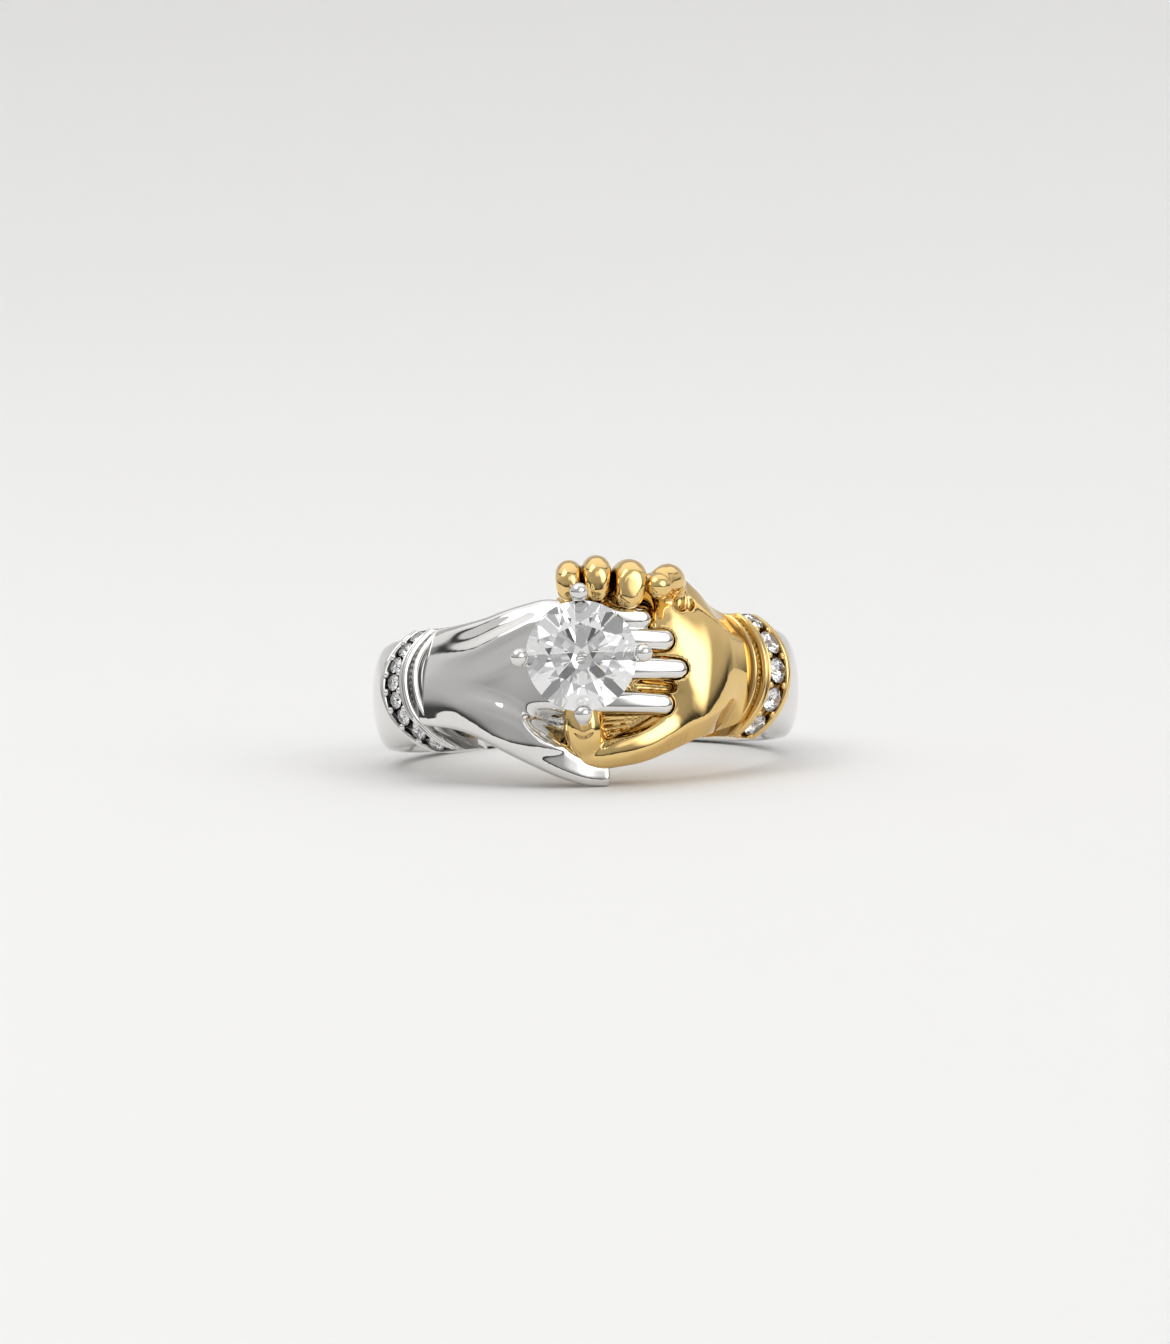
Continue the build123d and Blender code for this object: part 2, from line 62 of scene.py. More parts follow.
def smooth_table(at, places, values):
    """Values of a table at many places, on a smooth curve through its rows."""
    places = np.asarray(places, float)
    values = np.asarray(values, float)
    slopes = np.gradient(values, places)
    at = np.clip(at, places[0], places[-1])
    left = np.clip(np.searchsorted(places, at, side="right") - 1, 0, len(places) - 2)
    width = places[left + 1] - places[left]
    t = (at - places[left]) / width
    rise = t * t * (3 - 2 * t)
    leave = t * (1 - t) ** 2 * width
    arrive = -t * t * (1 - t) * width
    return (
        values[left] * (1 - rise) + values[left + 1] * rise
        + slopes[left] * leave + slopes[left + 1] * arrive
    )


def make_piece(name, points, faces, material, shades=None):
    """Smooth mesh that rides on the ring. shades holds a painted shade from 0 to 1 for each point, which
    darkens its colour.
    """
    mesh = bpy.data.meshes.new(name)
    mesh.from_pydata(to_row(points).tolist(), [], [tuple(face) for face in faces])
    mesh.validate()
    for polygon in mesh.polygons:
        polygon.use_smooth = True
    # This point attribute carries the painted shade, which darkens the metal's colour in hollows, creases
    # and channels
    layer = mesh.attributes.new("painted_shade", "FLOAT", "POINT")
    layer.data.foreach_set("value", np.zeros(len(points)) if shades is None else shades)
    piece = bpy.data.objects.new(name, mesh)
    bpy.context.scene.collection.objects.link(piece)
    mesh.materials.append(material)
    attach(piece, "root")
    return piece


# Distance fields. A field is a grid of angle, radius and height that holds the distance to a form.
# Limbs are tables of angle, radius, height and girth.
GRID_STEP = 0.065
FAR = 5.0
BORE_EDGE = 0.02
BEVEL_REACH = 1.5
BEVEL_EDGE = 0.05
PALM_SIDE_EDGE = 0.36
PALM_BEVEL_EDGE = 0.1
PALM_END_EDGE = 0.5
PALM_BLEND = 0.01

class Field:
    """Grid on which limbs and palms are joined softly and creases are cut."""

    def __init__(self, angles, radii, heights, step):
        turn_step = degrees(step / (sum(radii) / 2))
        self.angle = np.arange(angles[0], angles[1], turn_step)
        self.radius = np.arange(radii[0], radii[1], step)
        self.height = np.arange(heights[0], heights[1], step)
        self.value = np.full((len(self.angle), len(self.radius), len(self.height)), FAR)

    def window(self, centres, margin):
        """Slices of the grid within a margin of some ring coordinates, and that block's points."""
        spread = degrees(margin / BORE)
        slices = []
        for axis, values, reach in (
            (0, self.angle, spread), (1, self.radius, margin), (2, self.height, margin)
        ):
            low = centres[:, axis].min() - reach
            high = centres[:, axis].max() + reach
            first, last = np.searchsorted(values, (low, high))
            slices.append(slice(first, max(last, first + 1)))
        slices = tuple(slices)
        grid = np.meshgrid(
            self.angle[slices[0]], self.radius[slices[1]], self.height[slices[2]], indexing="ij"
        )
        return slices, grid

    def join(self, slices, distance, soft):
        """Adds a form, blended over a soft distance."""
        here = self.value[slices]
        near = np.maximum(soft - np.abs(here - distance), 0) ** 2 / (4 * soft)
        self.value[slices] = np.minimum(here, distance) - near

    def cut(self, slices, distance, soft):
        """Takes a form away, blended over a soft distance."""
        here = self.value[slices]
        near = np.maximum(soft - np.abs(here + distance), 0) ** 2 / (4 * soft)
        self.value[slices] = np.maximum(here, -distance) + near

    def keep_outside_bore(self, rows):
        """Cuts the finger hole. The rows are an angle and the clearance there."""
        slices = (slice(None), slice(None), slice(None))
        angles, clearances = np.transpose(rows)
        wall = BORE + np.interp(self.angle, angles, clearances)
        radius = self.radius[None, :, None] - wall[:, None, None]
        self.cut(slices, np.broadcast_to(radius, self.value.shape), BORE_EDGE)


def limb_rows(rows, per_row=5):
    """Rows of angle, radius, height and girth, put on a smooth curve with more rows between."""
    rows = np.asarray(rows, float)
    places = np.arange(len(rows))
    dense = np.linspace(0, len(rows) - 1, (len(rows) - 1) * per_row + 1)
    return np.column_stack([smooth_table(dense, places, rows[:, i]) for i in range(4)])


def limb_distance(grid, rows):
    """Distance to a limb, which is made of round lengths along its rows."""
    points = ring_points(*grid)
    centres = ring_points(rows[:, 0], rows[:, 1], rows[:, 2])
    best = np.full(points.shape[:-1], np.inf)
    for start, end, low, high in zip(centres[:-1], centres[1:], rows[:-1, 3], rows[1:, 3]):
        along = end - start
        offset = points - start
        share = np.clip(offset @ along / (along @ along), 0, 1)
        aside = offset - share[..., None] * along
        reach = np.sqrt((aside ** 2).sum(-1))
        best = np.minimum(best, reach - low - (high - low) * share)
    return best


def soft_max(first, second, soft):
    """The larger of two distances, blended where they are close."""
    return np.maximum(first, second) + np.maximum(soft - np.abs(first - second), 0) ** 2 / (4 * soft)


def add_limb(field, rows, soft, cut=False, top=None, end=None, edge=0.1):
    """Joins a limb to a field, or cuts it out. Its rows are angle, radius, height and girth. It is
    cut off at a radius of top, a number or rows of angle and radius, and at an angle of end, with
    edges rounded over edge."""
    rows = limb_rows(rows)
    margin = rows[:, 3].max() + 2 * soft + 0.2
    slices, grid = field.window(rows[:, :3], margin)
    distance = limb_distance(grid, rows)
    if top is not None:
        level = top if isinstance(top, float) else smooth_table(grid[0], *np.transpose(top))
        distance = soft_max(distance, grid[1] - level, edge)
    if end is not None:
        distance = soft_max(distance, (grid[0] - end) * radians(1) * grid[1], edge)
    if cut:
        field.cut(slices, distance, soft)
    else:
        field.join(slices, distance, soft)


def add_bevel(field, rows):
    """Cuts a sloping face under a crisp edge. Its rows are angle, height and radius of the edge."""
    slices, (angle, radius, height) = field.window(rows[:, [0, 2, 1]], BEVEL_REACH)
    edge_height = smooth_table(angle, rows[:, 0], rows[:, 1])
    edge_radius = smooth_table(angle, rows[:, 0], rows[:, 2])
    beyond = ((edge_height - height) + (radius - edge_radius)) * sqrt(0.5)
    field.cut(slices, -beyond, BEVEL_EDGE)


def palm_distance(grid, rows, ends, swells=(), lower=1.0):
    """Distance to a palm that lies on the bore: an arched back between a low and a high side. Its
    rows are angle, low side, high side, height of the crown's line, crown over the bore, radius of
    the arch and, if there is one, the height where a crisp bevel starts on the back. Each swell is
    a table of angle, height, rise and width of a fold in the back. A lower under 1 makes the part
    under the crown's line flatter."""
    angle, radius, height = grid
    low, high, line, crown, arch = (smooth_table(angle, rows[:, 0], rows[:, i]) for i in range(1, 6))
    fall = np.where(height < line, lower, 1.0) * (height - line)
    back = np.hypot(radius - BORE - crown + arch, fall) - arch
    for swell in swells:
        swell = np.asarray(swell, float)
        middle, rise, width = (smooth_table(angle, swell[:, 0], swell[:, i]) for i in (1, 2, 3))
        back = back - rise * np.exp(-((height - middle) / width) ** 2)
    sides = np.abs(height - (low + high) / 2) - (high - low) / 2
    distance = soft_max(back, sides, PALM_SIDE_EDGE)
    if rows.shape[1] > 6:
        bevel = smooth_table(angle, rows[:, 0], rows[:, 6])
        edge = BORE + crown - arch + np.sqrt(np.maximum(arch ** 2 - (bevel - line) ** 2, 0.1))
        beyond = ((height - bevel) + (radius - edge)) * sqrt(0.5)
        distance = soft_max(distance, beyond, PALM_BEVEL_EDGE)
    stops = np.maximum(ends[0] - angle, angle - ends[1]) * radians(1) * radius
    return soft_max(distance, stops, PALM_END_EDGE)


def surface_net(value):
    """Points, in grid steps, and four-sided faces of the surface where a grid passes zero."""
    inside = value < 0
    shape = np.array(value.shape)
    cells = shape - 1
    sums = np.zeros((3, cells.prod()))
    counts = np.zeros(cells.prod())
    quads = []
    for axis in range(3):
        low = [slice(None)] * 3
        high = [slice(None)] * 3
        low[axis] = slice(0, -1)
        high[axis] = slice(1, None)
        crossed = inside[tuple(low)] != inside[tuple(high)]
        edge = np.argwhere(crossed)
        before = value[tuple(low)][crossed]
        after = value[tuple(high)][crossed]
        place = edge.astype(float)
        place[:, axis] += before / (before - after)
        leaves = inside[tuple(low)][crossed]
        others = [(axis + 1) % 3, (axis + 2) % 3]
        around = []
        whole = np.ones(len(edge), bool)
        for first, second in ((0, 0), (1, 0), (1, 1), (0, 1)):
            cell = edge.copy()
            cell[:, others[0]] -= first
            cell[:, others[1]] -= second
            valid = ((cell >= 0) & (cell < cells)).all(1)
            whole &= valid
            flat = np.ravel_multi_index(np.clip(cell, 0, cells - 1).T, cells)
            around.append(flat)
            counts += np.bincount(flat[valid], minlength=len(counts))
            for part in range(3):
                sums[part] += np.bincount(
                    flat[valid], weights=place[valid, part], minlength=len(counts)
                )
        around = np.column_stack(around)[whole]
        leaves = leaves[whole]
        quads.append(np.where(leaves[:, None], around, around[:, ::-1]))
    used = counts > 0
    number = np.cumsum(used) - 1
    points = (sums[:, used] / counts[used]).T
    return points, number[np.concatenate(quads)]


RELAX_PULLS = (0.5, -0.53)


def relax(points, faces, rounds=3):
    """Smooths a mesh without shrinking it: each round moves the points in and then out again."""
    starts = faces.reshape(-1)
    ends = np.roll(faces, -1, axis=1).reshape(-1)
    count = np.bincount(starts, minlength=len(points)) + np.bincount(ends, minlength=len(points))
    for _ in range(rounds):
        for pull in RELAX_PULLS:
            mean = np.column_stack([
                np.bincount(starts, weights=points[ends, i], minlength=len(points))
                + np.bincount(ends, weights=points[starts, i], minlength=len(points))
                for i in range(3)
            ]) / np.maximum(count, 1)[:, None]
            points = points + pull * (mean - points)
    return points


def blurred(values, width):
    """Mean of a grid over a box of some cells each way."""
    for axis in range(3):
        pad = [(0, 0)] * 3
        pad[axis] = (width + 1, width)
        total = np.cumsum(np.pad(values, pad, mode="edge"), axis=axis)
        size = values.shape[axis]
        high = np.take(total, np.arange(2 * width + 1, 2 * width + 1 + size), axis=axis)
        low = np.take(total, np.arange(size), axis=axis)
        values = (high - low) / (2 * width + 1)
    return values


# Painted shade in hollows: cells each way over which the metal round a point is counted, the share of
# metal where the shade starts, and how fast it grows
PAINTED_SHADE_CELLS = 5
PAINTED_SHADE_START = 0.55
PAINTED_SHADE_GAIN = 5.5


def field_piece(name, field, material):
    """Meshes a field, with each point's painted shade read from how much metal stands round it, so points
    in hollows and creases get darker.
    """
    steps, faces = surface_net(field.value)
    metal_share = blurred((field.value < 0).astype(float), PAINTED_SHADE_CELLS)
    nearest = tuple(np.round(steps).astype(int).T)
    # Painted shade: the more metal round a point, the darker its colour
    painted_shade = np.clip((metal_share[nearest] - PAINTED_SHADE_START) * PAINTED_SHADE_GAIN, 0, 1)
    angle = np.interp(steps[:, 0], np.arange(len(field.angle)), field.angle)
    radius = np.interp(steps[:, 1], np.arange(len(field.radius)), field.radius)
    height = np.interp(steps[:, 2], np.arange(len(field.height)), field.height)
    points = relax(ring_points(angle, radius, height), faces)
    return make_piece(name, points, faces, material, painted_shade)


# Materials

def node_material(name):
    """New material with its nodes, links and surface shader."""
    material = bpy.data.materials.new(name)
    material.use_nodes = True
    nodes = material.node_tree.nodes
    return material, nodes, material.node_tree.links, nodes["Principled BSDF"]


def metal(name, colour, painted_shade_colour, roughness, grain):
    """Polished cast gold: faint polishing marks, soft unevenness, and painted shade that darkens its
    colour in recesses.
    """
    material, nodes, links, shader = node_material(name)
    shader.inputs["Metallic"].default_value = 1.0
    where = nodes.new("ShaderNodeTexCoord")
    clouds = nodes.new("ShaderNodeTexNoise")
    clouds.inputs["Scale"].default_value = 700.0
    clouds.inputs["Detail"].default_value = 3.0
    links.new(where.outputs["Object"], clouds.inputs["Vector"])
    marks = nodes.new("ShaderNodeTexNoise")
    marks.inputs["Scale"].default_value = 5200.0
    marks.inputs["Detail"].default_value = 4.0
    marks.inputs["Distortion"].default_value = 0.4
    links.new(where.outputs["Object"], marks.inputs["Vector"])
    gloss = nodes.new("ShaderNodeMapRange")
    gloss.inputs["From Min"].default_value = 0.35
    gloss.inputs["From Max"].default_value = 0.7
    gloss.inputs["To Min"].default_value = roughness * 0.7
    gloss.inputs["To Max"].default_value = roughness * 1.5
    links.new(marks.outputs["Fac"], gloss.inputs["Value"])
    links.new(gloss.outputs["Result"], shader.inputs["Roughness"])
    # Painted shade: the colour is mixed towards the dark shade colour by each point's painted shade value
    painted_shade = nodes.new("ShaderNodeAttribute")
    painted_shade.attribute_name = "painted_shade"
    tint = nodes.new("ShaderNodeMix")
    tint.data_type = "RGBA"
    tint.inputs["A"].default_value = (*colour, 1)
    tint.inputs["B"].default_value = (*painted_shade_colour, 1)
    links.new(painted_shade.outputs["Fac"], tint.inputs["Factor"])
    links.new(tint.outputs["Result"], shader.inputs["Base Color"])
    soft_bump = nodes.new("ShaderNodeBump")
    soft_bump.inputs["Strength"].default_value = 0.25
    soft_bump.inputs["Distance"].default_value = grain * 6
    links.new(clouds.outputs["Fac"], soft_bump.inputs["Height"])
    fine_bump = nodes.new("ShaderNodeBump")
    fine_bump.inputs["Strength"].default_value = 0.12
    fine_bump.inputs["Distance"].default_value = grain
    links.new(marks.outputs["Fac"], fine_bump.inputs["Height"])
    links.new(soft_bump.outputs["Normal"], fine_bump.inputs["Normal"])
    links.new(fine_bump.outputs["Normal"], shader.inputs["Normal"])
    return material


def diamond(name, tint):
    """Clear cut stone, whose facets bend and throw back the light."""
    material, _, _, shader = node_material(name)
    shader.inputs["Base Color"].default_value = (*tint, 1)
    shader.inputs["Roughness"].default_value = 0.0
    shader.inputs["IOR"].default_value = 2.42
    shader.inputs["Transmission Weight"].default_value = 1.0
    return material


# Each metal's second colour is its painted shade colour, used in hollows, creases and channels
white_gold = metal("white_gold", (0.77, 0.76, 0.74), (0.13, 0.126, 0.12), 0.04, 1.5e-6)
yellow_gold = metal("yellow_gold", (0.85, 0.60, 0.25), (0.28, 0.155, 0.038), 0.045, 1.5e-6)
clear_stone = diamond("diamond", (1.0, 1.0, 1.0))


# White hand: wrist and back as a table of edges and crown, then fingers, thumb and folds

white_palm = np.array([
    # angle, low side, high side, line of the crown, crown over the bore, radius of the arch
    (-50, -1.94, 2.44, -1.05, 2.66, 6.4),
    (-44, -2.06, 2.60, -1.05, 2.70, 6.6),
    (-39, -2.20, 2.70, -1.00, 2.76, 7.0),
    (-33, -2.40, 2.78, -0.90, 2.82, 7.5),
    (-27, -2.66, 2.94, -0.80, 2.90, 7.8),
    (-21, -3.00, 3.20, -0.60, 3.02, 8.2),
    (-15, -3.30, 3.44, -0.50, 3.14, 8.6),
    (-10, -3.45, 3.58, -0.10, 3.20, 8.6),
    (-5, -3.25, 3.48, 0.20, 3.20, 8.6),
    (-1, -2.60, 3.34, 0.30, 3.18, 8.6),
    (5, -1.90, 3.00, 0.30, 3.05, 8.4),
], float)
# Heights under the crown's line count this much, which makes the palm flatter there
WHITE_LOWER = 0.6
white_swells = [
    # angle, height, rise, width
    [(-43, 1.1, 0.0, 0.4), (-36, 1.15, 0.03, 0.4), (-28, 1.3, 0.07, 0.36), (-20, 1.9, 0.09, 0.34),
     (-12, 2.5, 0.08, 0.34), (-6, 2.6, 0.0, 0.34)],
    [(-38, 1.9, 0.0, 0.4), (-30, 1.95, -0.03, 0.36), (-22, 2.4, -0.05, 0.34), (-14, 2.9, -0.03, 0.34),
     (-8, 3.2, 0.0, 0.34)],
    [(-40, -0.2, 0.0, 0.5), (-32, -0.25, 0.02, 0.45), (-22, 0.1, 0.04, 0.45), (-12, 0.8, 0.03, 0.45),
     (-6, 0.9, 0.0, 0.4)],
]
white_thumb = [
    (-56, BORE + 1.10, -0.95, 0.84),
    (-50, BORE + 1.15, -1.00, 0.84),
    (-44, BORE + 1.24, -1.02, 0.86),
    (-37, BORE + 1.42, -1.10, 0.92),
    (-31, BORE + 1.76, -1.38, 0.98),
    (-25, BORE + 2.10, -1.94, 1.04),
    (-19, BORE + 2.36, -2.64, 1.04),
    (-13, BORE + 2.48, -3.40, 0.92),
    (-7.5, BORE + 2.46, -4.10, 0.78),
    (-3, BORE + 2.36, -4.57, 0.66),
    (1, BORE + 2.24, -4.84, 0.58),
    (5.4, BORE + 2.16, -4.90, 0.54),
]
# Angle and radius of the thumb's flat face
white_thumb_top = [(-48, 12.4), (-31, 11.54), (-25, 11.68), (-19, 11.80), (-13, 11.82), (-7.5, 11.64),
                   (-3, 11.42), (1, 11.24), (6, 11.12)]
white_hollow = [
    (-13.0, 12.1, -2.15, 0.40),
    (-10.8, 11.8, -2.50, 0.74),
    (-8.0, 11.7, -2.72, 0.92),
    (-4.0, 11.7, -2.90, 1.05),
    (2.0, 11.7, -3.00, 1.15),
    (9.0, 11.7, -3.00, 1.15),
]
white_folds = [
    [(-12.0, 10.95, -2.25, 0.16), (-9.5, 10.74, -2.38, 0.22), (-5.0, 10.58, -2.50, 0.20)],
    [(-10.8, 10.95, -2.85, 0.16), (-8.2, 10.74, -3.02, 0.22), (-4.5, 10.58, -3.28, 0.20)],
]
white_fingers = [
    # height at the knuckle, height at the tip, angle of the tip
    (2.55, 2.40, 13.4),
    (1.63, 1.40, 18.9),
    (0.15, 0.00, 22.3),
    (-1.43, -1.66, 18.2),
]


def finger_rows(knuckle, tip, end, extra=0.0):
    """Rows of a straight white finger, made thicker by extra."""
    return [
        (-6, 11.20, knuckle, 0.55 + extra),
        (-1, 11.52, knuckle, 0.56 + extra),
        (4, 11.62, knuckle * 0.7 + tip * 0.3, 0.55 + extra),
        (end * 0.6 + 1.5, 11.63, knuckle * 0.35 + tip * 0.65, 0.53 + extra),
        (end, 11.58, tip, 0.52 + extra),
    ]


def make_white_hand():
    """Back of the hand, four straight fingers and the thumb under them."""
    field = Field((-47.5, 25.0), (BORE - 0.15, 12.75), (-6.0, 4.1), GRID_STEP)
    slices, grid = field.window(np.array([(-47.0, 9.0, -4.0), (6.0, 12.0, 4.0)]), 1.0)
    palm = palm_distance(grid, white_palm, (-60, 5.0), white_swells, WHITE_LOWER)
    field.join(slices, palm, PALM_BLEND)
    add_limb(field, white_hollow, soft=0.4, cut=True)
    for rows in white_folds:
        add_limb(field, rows, soft=0.15)
    add_limb(field, white_thumb, soft=0.7, top=white_thumb_top, end=5.4, edge=0.2)
    for finger in white_fingers:
        add_limb(field, finger_rows(*finger), soft=0.06, top=12.02, edge=0.16)
    field.keep_outside_bore([(-12.5, 0.03), (-11.5, 0.7)])
    return field_piece("white_hand", field, white_gold)


# Yellow hand: a fist that holds the white hand

yellow_palm = np.array([
    # angle, low side, high side, line of the crown, crown over the bore, radius of the arch,
    # height where the bevel starts
    (-12, -3.10, 3.20, 0.0, 1.30, 8.0, 6.0),
    (-6, -3.40, 4.00, 0.0, 1.55, 8.0, 6.0),
    (0, -3.80, 4.35, 0.0, 1.80, 8.0, 6.0),
    (8, -4.05, 4.55, 0.0, 2.00, 8.0, 6.0),
    (12, -4.02, 4.62, 0.0, 2.20, 8.0, 6.0),
    (15, -3.96, 4.68, 0.0, 2.56, 8.4, 6.0),
    (18, -3.84, 4.74, 0.0, 2.96, 9.5, 5.4),
    (21, -3.68, 4.90, -0.3, 3.20, 10.0, 4.6),
    (25, -3.40, 5.08, -0.9, 3.48, 10.0, 3.96),
    (28, -3.20, 4.90, -1.1, 3.58, 10.0, 3.38),
    (31, -3.06, 4.32, -0.8, 3.54, 9.6, 2.80),
    (33.5, -2.96, 3.88, -0.4, 3.42, 9.0, 2.32),
    (36, -2.86, 3.54, 0.0, 3.22, 7.0, 1.90),
    (38.5, -2.74, 3.30, 0.1, 3.02, 5.4, 1.70),
    (43, -2.50, 3.06, 0.0, 2.76, 4.4, 1.62),
    (50, -2.40, 2.74, 0.0, 2.62, 4.0, 1.60),
], float)
yellow_heel = [
    (33, BORE + 1.90, -0.90, 1.20),
    (27, BORE + 2.20, -1.75, 1.14),
    (22, BORE + 2.42, -2.55, 1.00),
    (16, BORE + 2.55, -3.24, 0.90),
    (12, BORE + 2.60, -3.56, 0.85),
    (8, BORE + 2.55, -3.77, 0.78),
    (4, BORE + 2.45, -3.95, 0.68),
    (0.5, BORE + 2.30, -3.96, 0.60),
]
yellow_heel_bevel = np.array([
    # angle, height and radius of the crisp edge along the heel
    (-4, -4.60, 12.20),
    (0, -4.60, 11.80),
    (3, -4.42, 11.60),
    (6.9, -4.28, 11.74),
    (11.5, -3.98, 11.82),
    (16, -3.66, 11.83),
    (20, -3.20, 11.83),
    (23.4, -2.81, 11.92),
    (27, -2.45, 12.14),
    (31, -2.08, 12.12),
    (34, -1.70, 11.94),
    (36.5, -1.33, 11.76),
    (39, -1.00, 11.82),
    (42, -0.80, 12.20),
], float)
yellow_thumb = [
    (0.2, BORE + 2.20, -3.40, 0.94),
    (-0.6, BORE + 2.56, -2.90, 0.98),
    (-0.9, BORE + 2.66, -2.30, 0.94),
    (-1.0, BORE + 2.60, -1.60, 0.86),
]
yellow_thumb_nail = [(-2.9, 12.18, -2.90, 0.09), (-1.0, 12.18, -3.14, 0.12), (1.0, 12.18, -2.96, 0.09)]
yellow_fingers = [
    # angle, girth, top, tip, angle of the tip
    (-3.0, 0.63, 5.33, 3.30, -3.0),
    (3.5, 0.69, 5.52, 3.24, 3.3),
    (11.3, 0.80, 5.30, 2.84, 10.5),
]
yellow_first_finger = [
    (23.5, 10.0, 3.90, 0.84),
    (22.4, 10.8, 4.16, 0.84),
    (21.0, 11.4, 4.28, 0.80),
    (19.6, 11.7, 4.20, 0.74),
]
yellow_fingertip = [(18.4, 11.9, 4.00, 0.60), (17.3, 12.26, 3.90, 0.62)]
yellow_valley = [
    (13.6, 12.10, 2.95, 0.66),
    (17.0, 12.15, 2.85, 0.76),
    (20.0, 12.25, 2.90, 0.72),
    (22.4, 12.40, 3.05, 0.50),
]
# The gap between the third and fourth white finger, cut at three depths
POCKET_DROPS = (0.0, 0.4, 0.8)
yellow_pocket = [(9.0, 12.0, -0.72, 0.34), (15.0, 12.0, -0.76, 0.33), (20.3, 12.1, -0.86, 0.28)]
yellow_fist_hollow = [
    (25.4, 11.20, 3.72, 0.24),
    (25.0, 11.22, 3.40, 0.38),
    (24.3, 11.24, 3.08, 0.32),
]
yellow_crescent = [
    (26.4, 11.10, 3.90, 0.10),
    (27.2, 11.16, 3.50, 0.20),
    (27.1, 11.20, 3.08, 0.20),
    (26.4, 11.26, 2.74, 0.10),
]
yellow_slit = [(24.0, 11.35, 4.30, 0.08), (23.0, 11.70, 4.00, 0.12), (22.2, 11.86, 3.60, 0.09)]
yellow_recess = [
    (4.0, 11.9, -2.50, 0.75),
    (8.0, 11.9, -2.50, 0.72),
    (12.5, 11.85, -2.42, 0.52),
    (16.6, 11.80, -2.20, 0.28),
]


FINGER_CLEARANCE = 0.07
RECESS_FOLDS = 4


def make_yellow_hand():
    """Palm, heel and thumb under the white hand, and four curled fingers over it."""
    field = Field((-13.5, 47.0), (BORE - 0.15, 13.3), (-5.3, 5.8), GRID_STEP)
    slices, grid = field.window(np.array([(-12.0, 9.0, -4.5), (46.0, 12.5, 5.0)]), 1.0)
    field.join(slices, palm_distance(grid, yellow_palm, (-12.0, 60)), PALM_BLEND)
    add_limb(field, yellow_heel, soft=0.4, top=BORE + 3.26, edge=0.5)
    add_bevel(field, yellow_heel_bevel)
    add_limb(field, yellow_first_finger, soft=0.25)
    add_limb(field, yellow_valley, soft=0.25, cut=True)
    add_limb(field, yellow_fist_hollow, soft=0.1, cut=True)
    add_limb(field, yellow_crescent, soft=0.06, cut=True)
    for drop in POCKET_DROPS:
        lowered = [(angle, radius - drop, height, girth) for angle, radius, height, girth in yellow_pocket]
        add_limb(field, lowered, soft=0.05, cut=True)
    for finger in white_fingers:
        add_limb(field, finger_rows(*finger, extra=FINGER_CLEARANCE), soft=0.05, cut=True)
    add_limb(field, yellow_recess, soft=0.1, cut=True)
    for fold in range(RECESS_FOLDS):
        rows = [
            (4.0 + 0.2 * fold, BORE + 2.10, -2.14 - 0.30 * fold, 0.13),
            (10.5, BORE + 2.30, -2.16 - 0.21 * fold, 0.10),
            (16.8, BORE + 2.64, -2.14 - 0.08 * fold, 0.07),
        ]
        add_limb(field, rows, soft=0.03)
    add_limb(field, yellow_thumb, soft=0.1, top=12.16, edge=0.07)
    add_limb(field, yellow_thumb_nail, soft=0.04, cut=True)
    for angle, girth, top, tip, tip_angle in yellow_fingers:
        rows = [
            (angle, 9.3, top - girth - 1.2, girth * 0.95),
            (angle, 9.8, top - girth - 0.35, girth),
            (angle, 10.8, top - girth, girth),
            (angle, 11.7, top - girth - 0.05, girth),
            ((angle + tip_angle) / 2, 12.12, top - girth - 0.45, girth * 0.97),
            (tip_angle, 12.14, tip + girth * 0.9, girth * 0.88),
        ]
        add_limb(field, rows, soft=0.06, top=12.74, edge=0.14)
    add_limb(field, yellow_fingertip, soft=0.06)
    add_limb(field, yellow_slit, soft=0.06, cut=True)
    field.keep_outside_bore([(0, 0.03), (1, 0.03)])
    return field_piece("yellow_hand", field, yellow_gold)


white_hand = make_white_hand()
yellow_hand = make_yellow_hand()


# Cuffs, from the sizes of the solids

CUFF_HALF_WIDTH = 2.97
CUFF_THICKNESS = 2.8
CUFF_EDGE_THICKNESS = 1.0
CUFF_RIM_ANGLE = 59.0
CUFF_MOUTH_ANGLE = 43.5
CUFF_LEVELS = np.array([
    # share of the half width, share of the sweep
    (-1.0, 1.0), (-0.8, 0.62), (-0.45, 0.2), (0.0, 0.0), (0.45, -0.04), (0.8, 0.1), (1.0, 0.24),
])
CUFF_RISE = CUFF_THICKNESS - CUFF_EDGE_THICKNESS
CUFF_ARC = (CUFF_HALF_WIDTH ** 2 + CUFF_RISE ** 2) / (2 * CUFF_RISE)
CUFF_ARC_CENTRE = BORE + CUFF_THICKNESS - CUFF_ARC
CUFF_STEEPEST = asin(CUFF_HALF_WIDTH / CUFF_ARC)
CUFF_POINTS = 181
CUFF_WALL_POINTS = 7
# Beaded groove: its part of the length, and the height, pitch and slant of its marks
GROOVE_START, GROOVE_END = 0.785, 0.855
MARK_HEIGHT, MARK_PITCH, MARK_SLANT = 0.035, 0.3, 130
# Low flank, where the profile runs out into a plain wall darkened by painted shade: its part of the
# length, the arc where it starts, the arc over which it blends, its depth and its painted shade
FLANK_START, FLANK_END = 0.765, 0.999
FLANK_ARC, FLANK_BLEND, FLANK_DEPTH, FLANK_SHADE = 0.62, 0.2, 0.02, 0.85
# The profile fades out towards both ends of the arc, quicker at the channel than past it
CHANNEL_END = 0.56
CHANNEL_FADE, MOUTH_FADE, FADE_MARGIN = 0.03, 0.14, 0.006
